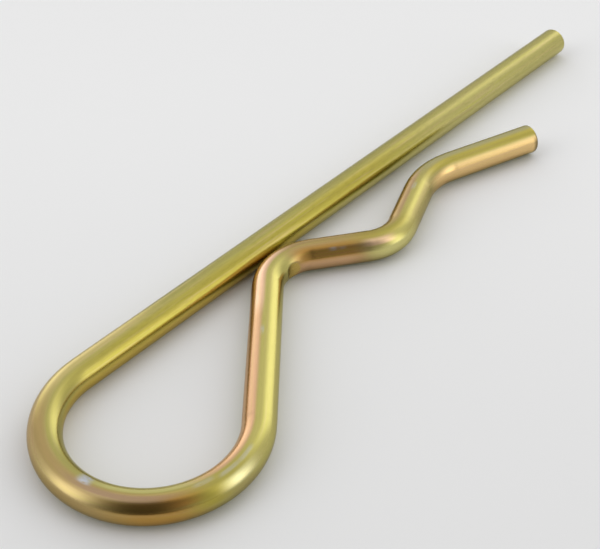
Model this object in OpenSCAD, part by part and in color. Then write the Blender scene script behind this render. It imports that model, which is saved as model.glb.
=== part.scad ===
// R-clip, also called a spring cotter or hairpin clip.
// One round spring wire, fed and bent in one plane: a straight leg, a loop at
// the back, a limb that comes back to the leg, and a wave that grips a shaft.
// The straight leg goes through the cross hole of the shaft, and the trough of
// the wave rests on the shaft's outside.
// Frame: the origin is where the shaft's centre line crosses the leg's centre
// line. The leg runs along X with its tip at +X, the wave is on the -Y side,
// and the wire's centre line lies in the plane Z = 0.

/* [Wire] */
// Diameter of the round wire
wire_d = 5; // [3:0.1:6]
// Loss of diameter in a bend, where bending stretches the wire
bend_thinning = 0.04; // [0.02:0.01:0.2]
// Radius of the tumbled edge round both cut ends
tip_edge_r = 0.8; // [0.2:0.1:1.4]

/* [Straight leg] */
// Straight length between the loop and the leading tip
leg_len = 123; // [100:0.5:160]

/* [Loop and limb] */
// Clear diameter inside the loop at the back
loop_clear_d = 24.7; // [18:0.1:36]
// Slope of the limb that comes back from the loop, in degrees
limb_slope = 40.2; // [30:0.1:52]

/* [Knee] */
// Clear space between the knee and the straight leg
knee_gap = 0.55; // [0.1:0.05:2]
// Inside radius of the knee bend
knee_inside_r = 6; // [4:0.1:10]
// Slope of the wire that falls from the knee, in degrees
fall_slope = 35.5; // [28:0.1:45]

/* [Shaft seat] */
// Depth of the trough from the leg's centre line: half the largest shaft
seat_depth = 11.75; // [10:0.05:16]
// Inside radius of the trough bend
trough_inside_r = 5.2; // [3:0.1:8]

/* [Mouth] */
// Slope of the wire that rises from the trough, in degrees
rise_slope = 22.4; // [17:0.1:30]
// Clear space between the crest and the straight leg
throat_gap = 3.9; // [1.5:0.05:5.5]
// Inside radius of the crest bend
crest_inside_r = 10.6; // [6:0.1:15]
// Slope of the free end, which leads the shaft in, in degrees
lead_slope = 19; // [10:0.1:35]
// Straight length of the free end
lead_len = 17.3; // [6:0.1:30]

/* [Bending tool mark] */
// Depth of the mark that the bending pin leaves inside the knee
mark_depth = 0.5; // [0.1:0.05:0.8]
// Radius of the bending pin
pin_r = 2; // [1.5:0.1:3.5]
// Place of the mark, as a share of the knee's turn
mark_share = 0.56; // [0.3:0.01:0.7]

/* [View] */
// Sides of the wire's section
section_sides = 64; // [32:4:96]
// Sides of a full turn of a bend
turn_sides = 128; // [64:4:256]
// Which node to draw

/* [Hidden] */
half_turn = 180;
quarter_turn = 90;

wire_r = wire_d / 2;
bend_wire_r = (wire_d - bend_thinning) / 2;

// Each bend runs on inside the straights before and after it by this length.
bend_bury = 0.05;

// Centre-line radii of the four bends.
loop_r = loop_clear_d / 2 + wire_r;
knee_r = knee_inside_r + wire_r;
trough_r = trough_inside_r + wire_r;
crest_r = crest_inside_r + wire_r;

// Depths of the wave's centre line below the leg's centre line.
knee_drop = wire_d + knee_gap;
trough_drop = seat_depth + wire_r;
crest_drop = wire_d + throat_gap;

// Height that an arc of radius r uses between level and the slope a.
function arc_height(r, a) = r * (1 - cos(a));

// Each straight feed joins two arcs: it covers the height that they leave.
limb_height = 2 * loop_r - knee_drop - arc_height(loop_r + knee_r, limb_slope);
limb_len = limb_height / sin(limb_slope);
fall_height = trough_drop - knee_drop - arc_height(knee_r + trough_r, fall_slope);
fall_len = fall_height / sin(fall_slope);
rise_height = trough_drop - crest_drop - arc_height(trough_r + crest_r, rise_slope);
rise_len = rise_height / sin(rise_slope);

// Distance along the leg from the loop's start to the trough's lowest point.
loop_to_seat = (loop_r + knee_r) * sin(limb_slope) + limb_len * cos(limb_slope)
    + (knee_r + trough_r) * sin(fall_slope) + fall_len * cos(fall_slope);

// The bending table, from the leg's back end. Each row is a bend and the straight
// feed after it: centre-line radius, turn (left is positive), feed, and the place
// of a tool mark as a share of the turn, or 0 for no mark.
bends = [
    [loop_r, half_turn + limb_slope, limb_len, 0],
    [knee_r, -(limb_slope + fall_slope), fall_len, mark_share],
    [trough_r, fall_slope + rise_slope, rise_len, 0],
    [crest_r, -(rise_slope + lead_slope), lead_len, 0],
];

// Wire always starts at the origin and heads along +X.
module straight(length) {
    rotate([0, quarter_turn, 0])
        cylinder(h = length, r = wire_r, $fn = section_sides);
}

// The last stretch of a cut end, with its tumbled edge.
module tip() {
    core_r = wire_r - tip_edge_r;
    rotate([0, quarter_turn, 0])
        rotate_extrude($fn = section_sides) {
            square([core_r, tip_edge_r]);
            translate([core_r, 0])
                intersection() {
                    circle(r = tip_edge_r, $fn = section_sides);
                    square(tip_edge_r);
                }
        }
}

// A straight that ends in a cut end.
module cut_end(length) {
    straight(length - tip_edge_r);
    translate([length - tip_edge_r, 0, 0])
        tip();
}

// A bend to the left, about the centre [0, r].
module left_bend(r, turn) {
    bury_angle = bend_bury / r * half_turn / PI;
    translate([0, r, 0])
        rotate([0, 0, -quarter_turn - bury_angle])
            rotate_extrude(angle = turn + 2 * bury_angle, $fn = turn_sides)
                translate([r, 0])
                    circle(r = bend_wire_r, $fn = section_sides);
}

// The bending pin stands inside a left bend and bites into the wire.
module bending_pin(r, turn) {
    reach = r - bend_wire_r + mark_depth - pin_r;
    translate([0, r, 0])
        rotate([0, 0, turn - quarter_turn])
            translate([reach, 0, 0])
                cylinder(h = wire_d, r = pin_r, center = true, $fn = section_sides);
}

// A bend by a signed turn, with its tool mark. A right bend is a mirrored left one.
module bend(r, turn, mark) {
    mirror([0, turn < 0 ? 1 : 0, 0])
        difference() {
            left_bend(r, abs(turn));
            if (mark > 0)
                bending_pin(r, mark * abs(turn));
        }
}

// Carries what follows a bend to the bend's end, about the bend's centre.
module past_bend(r, turn) {
    centre_y = sign(turn) * r;
    translate([0, centre_y, 0])
        rotate([0, 0, turn])
            translate([0, -centre_y, 0])
                children();
}

// Lays the table from row i on, each piece from the end of the last.
module lay_wire(i) {
    r = bends[i][0];
    turn = bends[i][1];
    feed = bends[i][2];
    mark = bends[i][3];
    bend(r, turn, mark);
    past_bend(r, turn)
        if (i + 1 < len(bends)) {
            straight(feed);
            translate([feed, 0, 0])
                lay_wire(i + 1);
        } else {
            cut_end(feed);
        }
}

module clip_wire() {
    color([0.78, 0.71, 0.36])
        translate([-loop_to_seat, 0, 0]) {
            cut_end(leg_len);
            rotate([0, 0, half_turn])
                lay_wire(0);
        }
}

clip_wire();
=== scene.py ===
# %% [markdown]
# # A spring cotter clip in yellow zinc
#
# A spring cotter, or R-clip, is one length of round spring wire. Its straight leg
# goes through the cross hole of a shaft, and its waved leg snaps round the outside
# and holds it there. The wire is cut, bent cold over pins, tumbled, zinc plated and
# dipped in a yellow passivate. The last bath leaves a film so thin that it shows
# interference colours: olive, gold, copper and a grey green.
#
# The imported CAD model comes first, because it is the frame that all else fits.

import math

import bpy
from mathutils import Matrix, Vector


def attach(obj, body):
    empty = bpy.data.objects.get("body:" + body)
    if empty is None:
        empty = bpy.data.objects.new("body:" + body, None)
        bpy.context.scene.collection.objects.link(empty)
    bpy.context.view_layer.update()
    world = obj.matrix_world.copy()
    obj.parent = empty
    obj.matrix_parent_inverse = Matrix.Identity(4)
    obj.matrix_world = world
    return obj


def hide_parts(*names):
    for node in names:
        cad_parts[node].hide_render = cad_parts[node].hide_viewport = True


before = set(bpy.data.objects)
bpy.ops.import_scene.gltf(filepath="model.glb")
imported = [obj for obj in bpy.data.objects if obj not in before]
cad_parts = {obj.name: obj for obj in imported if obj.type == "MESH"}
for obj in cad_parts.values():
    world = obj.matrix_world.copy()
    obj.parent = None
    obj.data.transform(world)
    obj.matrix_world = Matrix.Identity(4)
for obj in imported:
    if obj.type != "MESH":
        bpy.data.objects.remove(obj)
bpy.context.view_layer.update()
MM = 0.001
print("nodes:", sorted(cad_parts))

# %% [markdown]
# ## Camera
#
# The camera stands low on the loop's side and looks down along the clip, so the
# loop is near and the two tips are far. A moderately long lens keeps the straight
# leg nearly even in width. The camera's three axes are written as they are, which
# is plainer than angles: each is a unit vector in the part's own frame.

# %% Camera
CAMERA_PLACE = Vector((-138.552, -116.599, 139.283)) * MM
LOOK_RIGHT = Vector((0.66192, -0.74957, -0.00097))
LOOK_UP = Vector((0.48886, 0.43072, 0.75862))
SENSOR_WIDTH = 36.0
FOCAL_LENGTH = 81.842
NEAREST, FURTHEST = 0.01, 20.0

look_back = LOOK_RIGHT.cross(LOOK_UP).normalized()
look_up = look_back.cross(LOOK_RIGHT).normalized()
turn = Matrix((LOOK_RIGHT.normalized(), look_up, look_back)).transposed()
lens = bpy.data.cameras.new("studio_camera")
lens.sensor_fit = "HORIZONTAL"
lens.sensor_width = SENSOR_WIDTH
lens.lens = FOCAL_LENGTH
lens.clip_start = NEAREST
lens.clip_end = FURTHEST
camera = bpy.data.objects.new("studio_camera", lens)
camera.matrix_world = Matrix.Translation(CAMERA_PLACE) @ turn.to_4x4()
bpy.context.scene.collection.objects.link(camera)
bpy.context.scene.camera = camera
print("camera looks along", [round(-v, 3) for v in look_back])

# %% [markdown]
# ## The centre line
#
# A wire bender works from a table: feed so much wire, then bend it by so much over
# a pin of such a radius. The same table gives the centre line here. The slopes and
# depths are the clip's real sizes, and the straight feeds between two bends follow
# from them, as in the part's source.

# %% Sizes of the clip, in millimetres and degrees
WIRE_D = 5.0
BEND_THINNING = 0.04
TIP_EDGE_R = 0.5
LEG_LEN = 123.0
LOOP_CLEAR_D = 24.7
LIMB_SLOPE = 40.2
KNEE_GAP = 0.55
KNEE_INSIDE_R = 6.0
FALL_SLOPE = 35.5
SEAT_DEPTH = 11.75
TROUGH_INSIDE_R = 5.2
RISE_SLOPE = 22.4
THROAT_GAP = 3.9
CREST_INSIDE_R = 10.6
LEAD_SLOPE = 19.0
LEAD_LEN = 17.3
HALF_TURN = 180.0

wire_r = WIRE_D / 2
loop_r = LOOP_CLEAR_D / 2 + wire_r
knee_r = KNEE_INSIDE_R + wire_r
trough_r = TROUGH_INSIDE_R + wire_r
crest_r = CREST_INSIDE_R + wire_r
knee_drop = WIRE_D + KNEE_GAP
trough_drop = SEAT_DEPTH + wire_r
crest_drop = WIRE_D + THROAT_GAP


def arc_height(radius, slope):
    """Height that an arc uses between level and a slope."""
    return radius * (1 - math.cos(math.radians(slope)))


def feed_between(height, radius_sum, slope):
    """Straight feed that covers a height, less what the arcs at its ends cover."""
    return (height - arc_height(radius_sum, slope)) / math.sin(math.radians(slope))


limb_len = feed_between(2 * loop_r - knee_drop, loop_r + knee_r, LIMB_SLOPE)
fall_len = feed_between(trough_drop - knee_drop, knee_r + trough_r, FALL_SLOPE)
rise_len = feed_between(trough_drop - crest_drop, trough_r + crest_r, RISE_SLOPE)
print("limb, fall and rise in mm:", [round(feed, 3) for feed in (limb_len, fall_len, rise_len)])

# %% Bending table: name, kind, length or radius, turn in degrees
STRAIGHT, BEND = "straight", "bend"
BENDING_TABLE = [
    ("leg", STRAIGHT, LEG_LEN, 0.0),
    ("loop", BEND, loop_r, HALF_TURN + LIMB_SLOPE),
    ("limb", STRAIGHT, limb_len, 0.0),
    ("knee", BEND, knee_r, -(LIMB_SLOPE + FALL_SLOPE)),
    ("fall", STRAIGHT, fall_len, 0.0),
    ("trough", BEND, trough_r, FALL_SLOPE + RISE_SLOPE),
    ("rise", STRAIGHT, rise_len, 0.0),
    ("crest", BEND, crest_r, -(RISE_SLOPE + LEAD_SLOPE)),
    ("lead", STRAIGHT, LEAD_LEN, 0.0),
]


def stretch_length(kind, size, turn):
    """Length of centre line that one row of the table uses."""
    return size if kind == STRAIGHT else size * math.radians(abs(turn))


begins = {}
run = 0.0
for name, kind, size, turn_by in BENDING_TABLE:
    begins[name] = run
    run += stretch_length(kind, size, turn_by)
begins["end"] = run
print("distance along the wire in mm:")
print({name: round(at, 2) for name, at in begins.items()})

# %% [markdown]
# The centre line is laid from the tip of the straight leg, heading back towards the
# loop. Points are close together, and closer still at the two cut ends, where the
# tumbled edge needs its own rings. The whole line then moves along the leg so that
# the trough's lowest point lies under the origin, where the shaft is.

# %% Lay the centre line
RING_STEP = 0.4
EDGE_RINGS = 8
NOTHING_LEFT = 1e-9


def ring_distances(total):
    """Distances along the wire at which a ring of the wire's skin is set."""
    quarter_turn = [math.pi / 2 * i / EDGE_RINGS for i in range(EDGE_RINGS + 1)]
    edge = [TIP_EDGE_R * (1 - math.cos(angle)) for angle in quarter_turn]
    count = math.ceil((total - 2 * TIP_EDGE_R) / RING_STEP)
    step = (total - 2 * TIP_EDGE_R) / count
    body = [TIP_EDGE_R + step * i for i in range(1, count)]
    return edge + body + [total - at for at in reversed(edge)]


def place_on_line(distance):
    """Place of the centre line at a distance along the wire, and whether it bends there."""
    x, y, heading = 0.0, 0.0, math.pi
    left = distance
    for _, kind, size, turn_by in BENDING_TABLE:
        length = stretch_length(kind, size, turn_by)
        used = min(left, length)
        if kind == STRAIGHT:
            x += used * math.cos(heading)
            y += used * math.sin(heading)
        else:
            side = math.copysign(1.0, turn_by)
            angle = side * used / size
            centre_x = x - side * size * math.sin(heading)
            centre_y = y + side * size * math.cos(heading)
            heading += angle
            x = centre_x + side * size * math.sin(heading)
            y = centre_y - side * size * math.cos(heading)
        left -= used
        if left <= NOTHING_LEFT:
            break
    return x, y, kind == BEND


trough_middle = begins["trough"] + trough_r * math.radians(FALL_SLOPE)
seat_x = place_on_line(trough_middle)[0]
distances = ring_distances(begins["end"])
line = [place_on_line(at) for at in distances]
print("rings:", len(line), " leg's tip at x =", round(-seat_x, 3), "mm")

# %% [markdown]
# ## Sums with sockets
#
# Both node editors share their Math nodes, so one small class does the sums for the
# wire's shape and for its finish. A socket that is wrapped in it can be added to,
# multiplied and so on, and each sign adds one Math node. Every other node comes
# from one method, which takes the node's type, its settings and its sockets.


# %% A wrapped socket
class Sum:
    """One output socket that Python's signs work on."""

    def __init__(self, maker, socket):
        self.maker = maker
        self.socket = socket

    def __add__(self, other):
        return self.maker.math("ADD", self, other)

    def __sub__(self, other):
        return self.maker.math("SUBTRACT", self, other)

    def __mul__(self, other):
        return self.maker.math("MULTIPLY", self, other)

    def __truediv__(self, other):
        return self.maker.math("DIVIDE", self, other)

    def __rsub__(self, other):
        return self.maker.math("SUBTRACT", other, self)

    __radd__ = __add__
    __rmul__ = __mul__

    def other(self, name):
        """Another output of the same node."""
        return Sum(self.maker, self.socket.node.outputs[name])


print("a wrapped socket knows the signs + - * /")

# %% Node maker
MIX_SHARE, MIX_FIRST, MIX_SECOND, MIX_COLOUR = 0, 6, 7, 2


class NodeMaker:
    """Adds nodes to one tree."""

    def __init__(self, tree):
        self.tree = tree

    def add(self, kind, settings=None, sockets=None, output=0):
        """A node of a type, with its settings, then its sockets."""
        node = self.tree.nodes.new(kind)
        for name, value in (settings or {}).items():
            setattr(node, name, value)
        for name, value in (sockets or {}).items():
            if isinstance(value, Sum):
                self.tree.links.new(value.socket, node.inputs[name])
            else:
                node.inputs[name].default_value = value
        return Sum(self, node.outputs[output]) if len(node.outputs) else node

    def math(self, operation, first, second=0.0, third=0.0):
        """One sum with numbers."""
        values = {0: first, 1: second, 2: third}
        return self.add("ShaderNodeMath", {"operation": operation}, values)

    def vector(self, operation, first, second=(0.0, 0.0, 0.0), output=0):
        """One sum with vectors."""
        values = {0: first, 1: second}
        return self.add("ShaderNodeVectorMath", {"operation": operation}, values, output)

    def soft_step(self, value, low, high):
        """0 below low, 1 above high, smooth between."""
        limits = {"Value": value, "From Min": low, "From Max": high}
        return self.add("ShaderNodeMapRange", {"interpolation_type": "SMOOTHSTEP"}, limits)

    def mixed(self, share, first, second):
        """Colour between two colours, each a socket or three numbers."""
        first, second = (c if isinstance(c, Sum) else (*c, 1.0) for c in (first, second))
        sockets = {MIX_SHARE: share, MIX_FIRST: first, MIX_SECOND: second}
        return self.add("ShaderNodeMix", {"data_type": "RGBA"}, sockets, MIX_COLOUR)


print("node maker is ready")

# %% [markdown]
# ## The wire
#
# The real wire is drawn through a die, so it is round and even all the way, and
# only a little thinner where a bend has stretched it. A circle that is swept along
# the centre line gives just that, and Geometry Nodes can do the sweep and keep, at
# every point of the skin, how far along the wire it lies and where round the wire
# it sits. The finish needs both, because draining baths and rubbing tools follow
# the wire. The sweep is better here than the CAD node's own skin, which is right in
# shape but knows nothing of along and round.

# %% Line of points that the tree takes in
line_mesh = bpy.data.meshes.new("clip_wire_line")
line_mesh.from_pydata(
    [((x - seat_x) * MM, y * MM, 0.0) for x, y, bent in line],
    [(i, i + 1) for i in range(len(line) - 1)],
    [],
)
bend_share = line_mesh.attributes.new("bend_share", "FLOAT", "POINT")
bend_share.data.foreach_set("value", [float(bent) for x, y, bent in line])
wire = bpy.data.objects.new("bent_wire", line_mesh)
bpy.context.scene.collection.objects.link(wire)
print("points:", len(line_mesh.vertices))

# %% [markdown]
# The knee is bent over a small pin, and the pin bites into the wire's inner side.
# The same tree presses that mark in: any point of the skin that would lie inside
# the pin moves out to the pin's face, with a soft shoulder where metal has flowed.

# %% Where the bending pin stood
MARK_DEPTH = 0.5
PIN_R = 2.0
MARK_SHARE = 0.56
MARK_SHOULDER = 0.12

knee_turn = math.radians(LIMB_SLOPE + FALL_SLOPE)
mark_at = begins["knee"] + MARK_SHARE * knee_r * knee_turn
mark_x, mark_y, _ = place_on_line(mark_at)
mark_heading = math.radians(LIMB_SLOPE) - MARK_SHARE * knee_turn
pin_reach = wire_r - MARK_DEPTH + PIN_R
PIN_PLACE = Vector(
    (
        mark_x - seat_x + pin_reach * math.sin(mark_heading),
        mark_y - pin_reach * math.cos(mark_heading),
        0.0,
    )
)
print("bending pin in mm:", [round(v, 2) for v in PIN_PLACE])

# %% Geometry Nodes tree that sweeps the wire
GIVEN_SOCKETS = [
    ("Geometry", "NodeSocketGeometry"),
    ("Wire radius", "NodeSocketFloat"),
    ("Bend loss", "NodeSocketFloat"),
    ("Tip edge radius", "NodeSocketFloat"),
    ("Pin radius", "NodeSocketFloat"),
    ("Shoulder", "NodeSocketFloat"),
    ("Sides", "NodeSocketInt"),
    ("Pin place", "NodeSocketVector"),
    ("Finish", "NodeSocketMaterial"),
]
UP = (0.0, 0.0, 1.0)
LEVEL_ONLY = (1.0, 1.0, 0.0)


def wire_tree():
    """Tree that turns the line of points into the wire, with the pin's mark."""
    tree = bpy.data.node_groups.new("swept_wire", "GeometryNodeTree")
    for name, kind in GIVEN_SOCKETS:
        tree.interface.new_socket(name, in_out="INPUT", socket_type=kind)
    tree.interface.new_socket("Geometry", in_out="OUTPUT", socket_type="NodeSocketGeometry")
    maker = NodeMaker(tree)
    given = maker.add("NodeGroupInput")

    def remember(geometry, name, value, kind):
        """Stores a value at each point under a name."""
        settings = {"data_type": kind, "domain": "POINT"}
        sockets = {"Geometry": geometry, "Name": name, "Value": value}
        return maker.add("GeometryNodeStoreNamedAttribute", settings, sockets)

    def recall(name, kind):
        """The value that a point has under a name."""
        return maker.add("GeometryNodeInputNamedAttribute", {"data_type": kind}, {"Name": name})

    # The line becomes a curve that stays level: its sideways direction is always flat.
    curve = maker.add("GeometryNodeMeshToCurve", None, {"Mesh": given})
    curve = maker.add("GeometryNodeSetCurveNormal", {"mode": "Z_UP"}, {"Curve": curve})
    along = maker.add("GeometryNodeSplineParameter").other("Length")
    whole = maker.add("GeometryNodeCurveLength", None, {"Curve": curve})
    leftwards = maker.vector("CROSS_PRODUCT", UP, maker.add("GeometryNodeInputTangent"))
    curve = remember(curve, "along", along, "FLOAT")
    curve = remember(curve, "leftwards", leftwards, "FLOAT_VECTOR")
    curve = remember(curve, "middle", maker.add("GeometryNodeInputPosition"), "FLOAT_VECTOR")

    # The tumbled edge is a quarter circle between the side and the cut face.
    edge = given.other("Tip edge radius")
    to_tip = maker.math("MINIMUM", along, whole - along)
    into_edge = maker.math("MAXIMUM", edge - to_tip, 0.0)
    square = maker.math("MAXIMUM", edge * edge - into_edge * into_edge, 0.0)
    fullness = maker.math("SQRT", square)
    radius = given.other("Wire radius") - given.other("Bend loss") * recall("bend_share", "FLOAT")
    radius = radius - edge + fullness

    circle_sockets = {"Resolution": given.other("Sides"), "Radius": 1.0}
    circle = maker.add("GeometryNodeCurvePrimitiveCircle", {"mode": "RADIUS"}, circle_sockets)
    sweep_by = {"Curve": curve, "Profile Curve": circle, "Scale": radius, "Fill Caps": True}
    skin = maker.add("GeometryNodeCurveToMesh", None, sweep_by)

    # Where round the wire a point sits, as a unit arrow: left share and upward share.
    place = maker.add("GeometryNodeInputPosition")
    from_middle = maker.vector("SUBTRACT", place, recall("middle", "FLOAT_VECTOR"))
    outwards = maker.vector("NORMALIZE", from_middle)
    leftwards = recall("leftwards", "FLOAT_VECTOR")
    left_share = maker.vector("DOT_PRODUCT", outwards, leftwards, "Value")
    up_share = maker.vector("DOT_PRODUCT", outwards, UP, "Value")
    around = maker.add("ShaderNodeCombineXYZ", None, {"X": left_share, "Y": up_share})
    skin = remember(skin, "around", around, "FLOAT_VECTOR")

    # The bending pin pushes the skin out of its way.
    from_pin = maker.vector("SUBTRACT", place, given.other("Pin place"))
    from_pin = maker.vector("MULTIPLY", from_pin, LEVEL_ONLY)
    away = maker.vector("LENGTH", from_pin, output="Value")
    kept_away = maker.math("SMOOTH_MAX", away, given.other("Pin radius"), given.other("Shoulder"))
    push_sockets = {0: maker.vector("NORMALIZE", from_pin), "Scale": kept_away - away}
    push = maker.add("ShaderNodeVectorMath", {"operation": "SCALE"}, push_sockets)
    skin = remember(skin, "bitten", kept_away - away, "FLOAT")
    skin = maker.add("GeometryNodeSetPosition", None, {"Geometry": skin, "Offset": push})

    for name in ("middle", "leftwards", "bend_share"):
        skin = maker.add("GeometryNodeRemoveAttribute", None, {"Geometry": skin, "Name": name})
    smooth_sockets = {"Geometry": skin, "Shade Smooth": True}
    skin = maker.add("GeometryNodeSetShadeSmooth", None, smooth_sockets)
    skin = maker.add("GeometryNodeRealizeInstances", None, {"Geometry": skin})
    finish_sockets = {"Geometry": skin, "Material": given.other("Finish")}
    skin = maker.add("GeometryNodeSetMaterial", None, finish_sockets)
    maker.add("NodeGroupOutput", None, {"Geometry": skin})
    return tree


swept_wire = wire_tree()
print("nodes in the sweep:", len(swept_wire.nodes))

# %% [markdown]
# ## Yellow passivate
# A few bands below paint highlights and dark reflections into the base colour.
#
# Bright zinc is a bluish white metal. The passivate film on it is a fraction of a
# micrometre thick, and its colour depends on its thickness: olive where it is
# even, gold, copper and brown where it is thicker, a grey green where it is thin.
# The film runs and pools while the clip drains, so the colours lie in long soft
# bands that follow the wire. A metal shader whose base colour is built up from
# bands of such tones shows this from every side. A thin-film shader would paint the
# colours by angle of view instead, and they would not stay where the bath left them.
#
# Two helpers place the bands. A stretch is a span along the wire with soft ends, in
# millimetres from the straight leg's tip. A side is a sector round the wire, in
# degrees: 0 is the wire's left as it runs from that tip, and 90 is the top.

# %% Material and its helpers
finish = bpy.data.materials.new("yellow_zinc_wire")
finish.use_nodes = True
finish.node_tree.nodes.clear()
paint = NodeMaker(finish.node_tree)


def stored(name, output):
    """What the sweep stored at each point of the skin."""
    return paint.add("ShaderNodeAttribute", {"attribute_name": name}).other(output)


along_mm = stored("along", "Fac") * (1 / MM)
left_share = paint.add("ShaderNodeSeparateXYZ", None, {"Vector": stored("around", "Vector")})
up_share = left_share.other("Y")


def stretch(start, end, soft):
    """Mask of a span along the wire."""
    rise = paint.soft_step(along_mm, start - soft, start + soft)
    fall = paint.soft_step(along_mm, end - soft, end + soft)
    return rise * (1 - fall)


def side(middle, half_width, soft):
    """Mask of a sector round the wire."""
    angle = math.radians(middle)
    nearness = left_share * math.cos(angle) + up_share * math.sin(angle)
    low = math.cos(math.radians(min(half_width + soft, HALF_TURN)))
    high = math.cos(math.radians(max(half_width - soft, 0.0)))
    return paint.soft_step(nearness, low, high)


print("helpers for bands are ready")

# %% [markdown]
# The film and the metal under it are never quite even. A noise that is read along
# the wire slowly and round it faster gives long streaks. Two of its three inputs
# are the unit arrow round the wire, so it has no seam.

# %% Noises: repeats per millimetre, repeats round the wire, detail, shift
NOISES = {
    "film lines": (0.05, 5.0, 3.0, 11.0),
    "pink lines": (0.09, 8.0, 3.0, 41.0),
    "green lines": (0.07, 7.0, 3.0, 57.0),
    "mottle": (0.7, 11.0, 4.0, 71.0),
    "satin": (0.12, 3.0, 3.0, 31.0),
    "drawing lines": (0.08, 22.0, 4.0, 23.0),
}


def streaks(per_mm, round_scale, detail, shift):
    """Noise from 0 to 1 that is stretched along the wire."""
    parts = {
        "X": along_mm * per_mm + shift,
        "Y": left_share * round_scale,
        "Z": up_share * round_scale,
    }
    place = paint.add("ShaderNodeCombineXYZ", None, parts)
    sockets = {"Vector": place, "Scale": 1.0, "Detail": detail}
    return paint.add("ShaderNodeTexNoise", {"noise_dimensions": "3D"}, sockets)


noise = {name: streaks(*numbers) for name, numbers in NOISES.items()}
print("noises:", list(noise))

# %% [markdown]
# The tones run from greens through yellows and coppers to browns. The last two are
# the bare zinc and the darkest specks. All are reflectances, so a light tone is a
# film that takes little light away, but the cream tone only paints a highlight and
# the rim brown only paints a dark reflection. A band that covers a tip runs on past
# it, and its soft end doesn't show.

# %% Tones of the film
OLIVE = (0.43, 0.385, 0.12)
PALE_OLIVE = (0.485, 0.44, 0.16)
MOSS = (0.41, 0.345, 0.06)
LEAF = (0.46, 0.45, 0.07)
SAGE = (0.46, 0.43, 0.23)
GREY_GREEN = (0.355, 0.33, 0.13)
KHAKI = (0.42, 0.35, 0.14)
YELLOW = (0.52, 0.465, 0.145)
STRAW = (0.66, 0.61, 0.25)
HIGHLIGHT_CREAM = (0.76, 0.71, 0.36)
SAND = (0.62, 0.50, 0.22)
GOLD = (0.78, 0.53, 0.23)
OCHRE = (0.58, 0.425, 0.09)
ORANGE = (0.62, 0.32, 0.075)
COPPER = (0.70, 0.42, 0.245)
ROSE = (0.88, 0.57, 0.385)
PINK_GREY = (0.58, 0.43, 0.24)
DUSK = (0.76, 0.52, 0.34)
RUST = (0.60, 0.37, 0.20)
TAN = (0.48, 0.325, 0.165)
BRONZE = (0.41, 0.285, 0.12)
MAUVE = (0.40, 0.27, 0.165)
BROWN = (0.46, 0.25, 0.06)
# Painted dark reflection for the rims of the tips.
RIM_SHADE_BROWN = (0.17, 0.13, 0.06)
ZINC = (0.52, 0.54, 0.58)
SOOT = (0.05, 0.04, 0.02)

PAST = 20.0
leg_at, loop_at = begins["leg"], begins["loop"]
knee_at, trough_at = begins["knee"], begins["trough"]
rise_at, crest_at, end_at = begins["rise"], begins["crest"], begins["end"]
print("bands run", PAST, "mm past the tips")


# %% Film that is built up band by band
class Film:
    """The film's colour, with one tone laid over another; a few layers are painted highlights and
    painted dark rims.
    """

    def __init__(self, tone):
        self.tone = tone

    def lay(self, share, colour):
        """Lays one more tone, by a share that can vary over the skin."""
        self.tone = paint.mixed(share, self.tone, colour)

    def lay_bands(self, bands):
        """Lays bands: span along the wire, sector round it, share and tone."""
        for span, sector, share, colour in bands:
            self.lay(stretch(*span) * side(*sector) * share, colour)


THIN_FROM, THIN_FULL, THIN_SHARE = 0.42, 0.70, 0.30
film = Film(OLIVE)
film.lay(paint.soft_step(noise["film lines"], THIN_FROM, THIN_FULL) * THIN_SHARE, GREY_GREEN)
print("nodes in the finish so far:", len(finish.node_tree.nodes))

# %% [markdown]
# The clip drains with its loop lowest, so the straight leg keeps the evenest film:
# pale at the tip, green further back, and ochre low on its left flank near the loop.

# %% Bands on the straight leg
film.lay(stretch(leg_at - PAST, leg_at + 38, 18) * 0.75, PALE_OLIVE)
film.lay_bands(
    [
        ((leg_at + 50, loop_at + 4, 14), (28, 46, 16), 0.9, MOSS),
        ((leg_at - PAST, leg_at + 72, 12), (-40, 44, 14), 0.85, STRAW),
        ((leg_at + 78, loop_at + 12, 8), (-22, 36, 12), 0.9, OCHRE),
        ((leg_at - PAST, loop_at + 4, 10), (142, 30, 14), 0.85, GREY_GREEN),
    ]
)
print("bands on the leg are laid")

# %% [markdown]
# The loop's outside is bronze and brown, where the last drops hang. Towards the limb
# the film thins out fast, from brown through orange to moss. Two narrow bands on the
# loop, one sand and one cream, are painted highlights.

# %% Bands on the loop
film.lay_bands(
    [
        ((loop_at - 14, loop_at + 8, 6), (122, 34, 12), 0.9, SAND),
        ((loop_at + 8, loop_at + 33, 5), (155, 70, 12), 0.9, BRONZE),
        ((loop_at + 2, loop_at + 16, 5), (164, 36, 14), 0.35, DUSK),
        # Painted highlight: a narrow sand band where a lamp's reflection falls.
        ((loop_at + 17, loop_at + 29, 4), (136, 10, 12), 0.5, SAND),
        ((loop_at + 31, loop_at + 41, 4), (158, 62, 16), 0.9, BROWN),
        ((loop_at + 24, loop_at + 38, 4), (106, 10, 9), 0.9, MAUVE),
        ((loop_at + 37, loop_at + 41.5, 1.5), (128, 10, 10), 0.9, ORANGE),
        ((loop_at + 40.5, loop_at + 45, 2), (146, 26, 12), 0.9, MOSS),
        ((loop_at + 40, loop_at + 56, 4), (104, 20, 12), 0.5, MOSS),
        ((loop_at + 45, loop_at + 50, 3), (168, 34, 14), 0.8, KHAKI),
        # Painted highlight: a narrow cream band where a lamp's reflection falls.
        ((loop_at + 45, loop_at + 50, 2), (138, 14, 10), 0.8, HIGHLIGHT_CREAM),
        ((loop_at + 27, loop_at + 44, 4), (68, 10, 9), 0.8, STRAW),
    ]
)
print("bands on the loop are laid")

# %% [markdown]
# The limb and the knee are copper and rose on the left flank and yellow on the
# right. The fall between knee and trough is bronze and brown, dusky left of its top
# and rust on its right flank.

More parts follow.
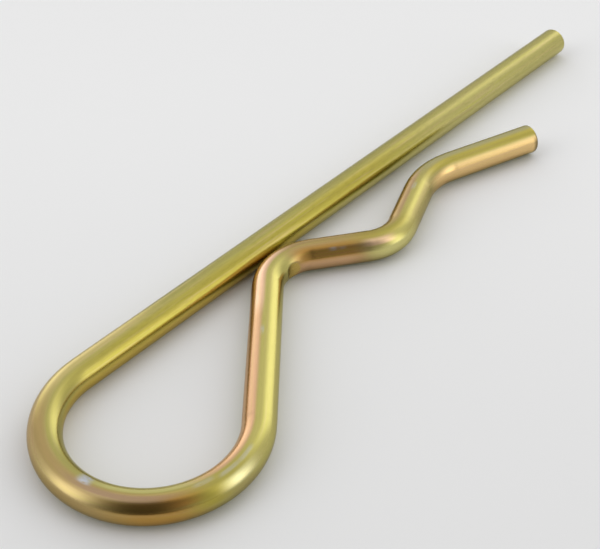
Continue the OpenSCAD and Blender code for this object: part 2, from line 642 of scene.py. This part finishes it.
# %% Bands on the limb, the knee and the fall
film.lay_bands(
    [
        ((loop_at + 42, knee_at + 4, 4), (42, 38, 10), 0.95, COPPER),
        ((loop_at + 50, knee_at + 3, 4), (128, 46, 10), 0.9, YELLOW),
        ((knee_at + 6.5, trough_at + 1, 2), (128, 92, 14), 0.92, BRONZE),
        ((knee_at - 7, knee_at + 7, 2.5), (38, 44, 10), 0.95, ROSE),
        ((knee_at + 9, trough_at - 1, 2.5), (56, 16, 10), 0.6, DUSK),
        ((knee_at + 8, trough_at - 2, 2), (144, 34, 14), 0.92, BROWN),
        ((knee_at + 7, trough_at - 2, 2.5), (190, 22, 14), 0.9, RUST),
    ]
)
print("bands on the limb, the knee and the fall are laid")

# %% [markdown]
# The trough is yellow and straw, and a small rose patch on it is a painted highlight.
# The rise and the crest are dusky and tan on the left and khaki on the right. The free
# end goes from gold on its right flank through moss on top to sage on its left.

# %% Bands on the trough, the crest and the free end
film.lay_bands(
    [
        ((trough_at, rise_at + 1, 2.5), (142, 36, 14), 0.85, YELLOW),
        ((trough_at, rise_at + 1, 2.5), (180, 26, 14), 0.8, STRAW),
        # Painted highlight: a small bright rose patch on the trough.
        ((trough_at - 1, trough_at + 3, 1.2), (126, 12, 8), 0.75, ROSE),
        ((trough_at + 3, crest_at + 3, 3), (42, 34, 14), 0.85, DUSK),
        ((trough_at - 3, rise_at + 2, 3), (84, 26, 12), 0.6, MOSS),
        ((rise_at - 1, crest_at + 2, 3), (58, 22, 10), 0.9, TAN),
        ((rise_at, crest_at + 3, 3), (150, 40, 14), 0.85, KHAKI),
        ((rise_at, crest_at + 1, 3), (98, 16, 10), 0.8, YELLOW),
        ((crest_at + 3, end_at + PAST, 3), (150, 62, 10), 0.95, KHAKI),
        ((crest_at + 2, end_at + PAST, 3), (174, 34, 14), 0.95, GOLD),
        ((crest_at + 3, end_at + PAST, 3), (104, 22, 10), 0.8, MOSS),
        ((crest_at + 3, end_at + PAST, 3), (60, 32, 12), 0.85, SAGE),
    ]
)
print("nodes in the finish so far:", len(finish.node_tree.nodes))

# %% [markdown]
# Close up the film is never even. Draining leaves fine streaks, some pinker and some
# greener, and they show most on the straight leg. Clips rub against each other in
# the barrel and wear the film down to the zinc in small spots.

# %% Streaks: noise, where it starts and is full, share, tone
STREAKS = [
    ("pink lines", 0.50, 0.72, 0.34, PINK_GREY),
    ("green lines", 0.50, 0.72, 0.32, LEAF),
    ("mottle", 0.42, 0.75, 0.11, SOOT),
]
BENT_SHARE = 0.45
on_leg = stretch(leg_at - PAST, loop_at, 8)
liveliness = BENT_SHARE + on_leg * (1 - BENT_SHARE)
for name, low, high, share, tone in STREAKS:
    film.lay(paint.soft_step(noise[name], low, high) * share * liveliness, tone)
print("streaks:", len(STREAKS))

# %% Rubs: place along the wire, angle round it, half length, half width, strength
RUBS = [
    (148.7, 77, 0.9, 17, 0.95),
    (165.3, 93, 1.4, 4, 0.24),
    (169.3, 100, 1.6, 3, 0.30),
    (172.7, 101, 1.5, 3, 0.30),
    (197.0, 84, 0.7, 3, 0.35),
    (223.6, 130, 0.35, 3, 0.60),
    (225.1, 131, 0.30, 2, 0.35),
    (246.0, 82, 0.8, 4, 0.35),
]
RUB_SOFT_MM, RUB_SOFT_DEGREES = 0.7, 7
WORN_FROM, WORN_FULL = 0.25, 0.50
worn = paint.soft_step(noise["mottle"], WORN_FROM, WORN_FULL)
for place, angle, half_length, half_width, strength in RUBS:
    along_rub = stretch(place - half_length, place + half_length, RUB_SOFT_MM)
    patch = along_rub * side(angle, half_width, RUB_SOFT_DEGREES)
    film.lay(patch * worn * strength, ZINC)
print("rubs:", len(RUBS))

# %% [markdown]
# The two tips' faces and rounded rims are painted dark brown: a painted dark
# reflection that outlines the ends. The free end's rim is painted darker still on
# its right flank as painted shade. The bending pin leaves a patch of ochre where it
# bit into the knee.

# %% Painted dark rims at the tips, and the pin's mark
RIM_DEPTH = 0.45
RIM_SHADE_SHARE, BITE_SHARE = 0.85, 0.7
BITE_SHOWS, BITE_FULL = 0.02, 0.22
to_tip = paint.math("MINIMUM", along_mm, end_at - along_mm)
# Painted dark reflection over the last bit of each tip.
shaded_tip_rim = 1 - paint.soft_step(to_tip, 0.0, RIM_DEPTH)
# Painted shade on the free end's rim, on its right flank.
free_tip_shade = ((end_at - 0.85, end_at + PAST, 0.35), (180, 36, 14), RIM_SHADE_SHARE, RIM_SHADE_BROWN)
pressed = paint.soft_step(stored("bitten", "Fac") * (1 / MM), BITE_SHOWS, BITE_FULL)
film.lay(shaded_tip_rim * RIM_SHADE_SHARE, RIM_SHADE_BROWN)
film.lay_bands([free_tip_shade])
film.lay(pressed * BITE_SHARE, OCHRE)
print("nodes in the finish so far:", len(finish.node_tree.nodes))

# %% [markdown]
# The wire keeps the fine lines of the drawing die under the plating, so the bump
# comes from the same stretched noise at a fine scale. The plating itself is satin,
# and a broader noise in the roughness makes it a little uneven. The film also tints
# what the metal reflects at a grazing angle, so the wire's rim is a little warm.

# %% Shader of the film
SATIN, SATIN_SPREAD = 0.20, 0.07
FACE_ROUGHER, MARK_ROUGHER = 0.15, 0.04
GRAIN_STRENGTH, GRAIN_DEPTH = 0.10, 0.05
RIM = (0.80, 0.78, 0.68, 1.0)
roughness = SATIN + noise["satin"] * SATIN_SPREAD + shaded_tip_rim * FACE_ROUGHER + pressed * MARK_ROUGHER
grain_sockets = {
    "Strength": GRAIN_STRENGTH,
    "Distance": GRAIN_DEPTH * MM,
    "Height": noise["drawing lines"],
}
metal_sockets = {
    "Base Color": film.tone,
    "Metallic": 1.0,
    "Roughness": roughness,
    "Specular Tint": RIM,
    "Normal": paint.add("ShaderNodeBump", None, grain_sockets),
}
metal = paint.add("ShaderNodeBsdfPrincipled", None, metal_sockets)
paint.add("ShaderNodeOutputMaterial", None, {"Surface": metal})
print("nodes in the finish:", len(finish.node_tree.nodes))

# %% Sweep the wire and keep it as a plain mesh
SIDES = 72
inputs = {
    "Wire radius": wire_r * MM,
    "Bend loss": BEND_THINNING / 2 * MM,
    "Tip edge radius": TIP_EDGE_R * MM,
    "Pin radius": PIN_R * MM,
    "Shoulder": MARK_SHOULDER * MM,
    "Sides": SIDES,
    "Pin place": PIN_PLACE * MM,
    "Finish": finish,
}
sweep = wire.modifiers.new("sweep", "NODES")
sweep.node_group = swept_wire
for item in swept_wire.interface.items_tree:
    if item.in_out == "INPUT" and item.name in inputs:
        sweep[item.identifier] = inputs[item.name]
wire.update_tag()
bpy.context.view_layer.update()
swept = wire.evaluated_get(bpy.context.evaluated_depsgraph_get())
wire_mesh = bpy.data.meshes.new_from_object(swept)
wire_mesh.name = "bent_wire"
wire.modifiers.clear()
wire.data = wire_mesh
print("faces:", len(wire_mesh.polygons))
print("materials:", [m.name for m in wire_mesh.materials if m])
print("attributes:", [a.name for a in wire_mesh.attributes])

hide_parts("clip_wire")
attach(wire, "root")

# %% [markdown]
# ## Floor and light
#
# The clip lies on a pale sheet in a light tent. Four lamps shine through the cloth
# from outside, and each makes a glow with soft edges. The cloth between them is
# dimmer, and the gap for the lens is dark. A satin metal shows all of this as long
# soft bands, so the tent matters as much as the lamps. A world that is brighter in
# four places gives such edges. Area lamps would show as bright boards.

# %% Floor
FLOOR_HALF = 2.0
# The paper is darker near the lens and lighter away from it: painted light falloff.
SHADED_NEAR_PAPER = (0.853, 0.853, 0.853)
LIT_FAR_PAPER = (0.942, 0.942, 0.942)
AWAY_FROM_LENS = (0.749, 0.663, 0.0)
NEAR_END, FAR_END = -0.10, 0.04

floor_mesh = bpy.data.meshes.new("floor")
corners = [(-1, -1), (1, -1), (1, 1), (-1, 1)]
floor_level = -wire_r * MM
floor_mesh.from_pydata(
    [(x * FLOOR_HALF, y * FLOOR_HALF, floor_level) for x, y in corners], [], [(0, 1, 2, 3)]
)
floor = bpy.data.objects.new("floor", floor_mesh)
bpy.context.scene.collection.objects.link(floor)
paper = bpy.data.materials.new("pale_paper")
paper.use_nodes = True
paper.node_tree.nodes.clear()
sheet = NodeMaker(paper.node_tree)
paper_place = sheet.add("ShaderNodeTexCoord").other("Object")
distance_off = sheet.vector("DOT_PRODUCT", paper_place, AWAY_FROM_LENS, "Value")
shade = sheet.mixed(sheet.soft_step(distance_off, NEAR_END, FAR_END), SHADED_NEAR_PAPER, LIT_FAR_PAPER)
diffuse = sheet.add("ShaderNodeBsdfDiffuse", None, {"Color": shade})
sheet.add("ShaderNodeOutputMaterial", None, {"Surface": diffuse})
floor_mesh.materials.append(paper)
print("floor at z =", -wire_r, "mm")

# %% Helpers for the cloth of the tent
GLOW_CORE = 0.15
GLOW_FRONT = 0.2
room = bpy.data.worlds.new("light_tent")
room.use_nodes = True
room.node_tree.nodes.clear()
air = NodeMaker(room.node_tree)
look = air.add("ShaderNodeTexCoord")


def way(azimuth, height):
    """Unit arrow at an azimuth from +X towards +Y and a height above the floor."""
    a, e = math.radians(azimuth), math.radians(height)
    return Vector((math.cos(a) * math.cos(e), math.sin(a) * math.cos(e), math.sin(e)))


def share_of(arrow):
    """How far the view into the tent points along an arrow, from -1 to 1."""
    return air.vector("DOT_PRODUCT", look, arrow, "Value")


def glow(azimuth, height, half_width, half_height):
    """Soft oval spot on the cloth, 1 in its middle and 0 at its rim."""
    middle = way(azimuth, height)
    level = way(azimuth + 90, 0)
    across = share_of(level) / math.sin(math.radians(half_width))
    upwards = share_of(middle.cross(level)) / math.sin(math.radians(half_height))
    from_middle = air.math("SQRT", across * across + upwards * upwards)
    spot = 1 - air.soft_step(from_middle, GLOW_CORE, 1.0)
    return spot * air.soft_step(share_of(middle), 0.0, GLOW_FRONT)


print("helpers for the tent are ready")

# %% Lamps behind the cloth: azimuth, height, half width, half height, strength
LAMPS = {
    "left lamp": (153, 28, 28, 72, 1.40),
    "right lamp": (296, 20, 21, 60, 1.17),
    "far lamp": (3, 16, 25, 50, 1.16),
    "back lamp": (74, 2, 22, 42, 1.00),
}
CLOTH = 0.81
ROOF_GAIN, ROOF_LIMITS = 0.17, (0.35, 0.85)
ZENITH_LOSS, ZENITH_LIMITS = 0.10, (0.86, 1.0)
LENS_AZIMUTH, LENS_LOSS = 215.0, 0.90
LENS_SIDE_LIMITS, LENS_FRONT_LIMITS = (0.15, 1.03), (-0.05, 0.45)

sideways = share_of(way(LENS_AZIMUTH + 90, 0))
beside = air.soft_step(air.math("ABSOLUTE", sideways), *LENS_SIDE_LIMITS)
towards_lens = air.soft_step(share_of(way(LENS_AZIMUTH, 0)), *LENS_FRONT_LIMITS)
gap = (1 - beside) * towards_lens
upwards = share_of(way(0, 90))
brightness = CLOTH + ROOF_GAIN * air.soft_step(upwards, *ROOF_LIMITS)
brightness = brightness - ZENITH_LOSS * air.soft_step(upwards, *ZENITH_LIMITS)
for azimuth, height, half_width, half_height, strength in LAMPS.values():
    brightness = brightness + glow(azimuth, height, half_width, half_height) * strength
brightness = brightness * (1 - gap * LENS_LOSS)
cloth_sockets = {"Color": (1.0, 1.0, 1.0, 1.0), "Strength": brightness}
cloth = air.add("ShaderNodeBackground", None, cloth_sockets)
air.add("ShaderNodeOutputWorld", None, {"Surface": cloth})
bpy.context.scene.world = room
print("lamps:", list(LAMPS))

# %% [markdown]
# ## Colour
#
# The tones are plain reflectances and the tent is lit so that none burns out, so
# they are shown as they are, with no curve over them.

# %% Colour as it is
bpy.context.scene.view_settings.view_transform = "Standard"
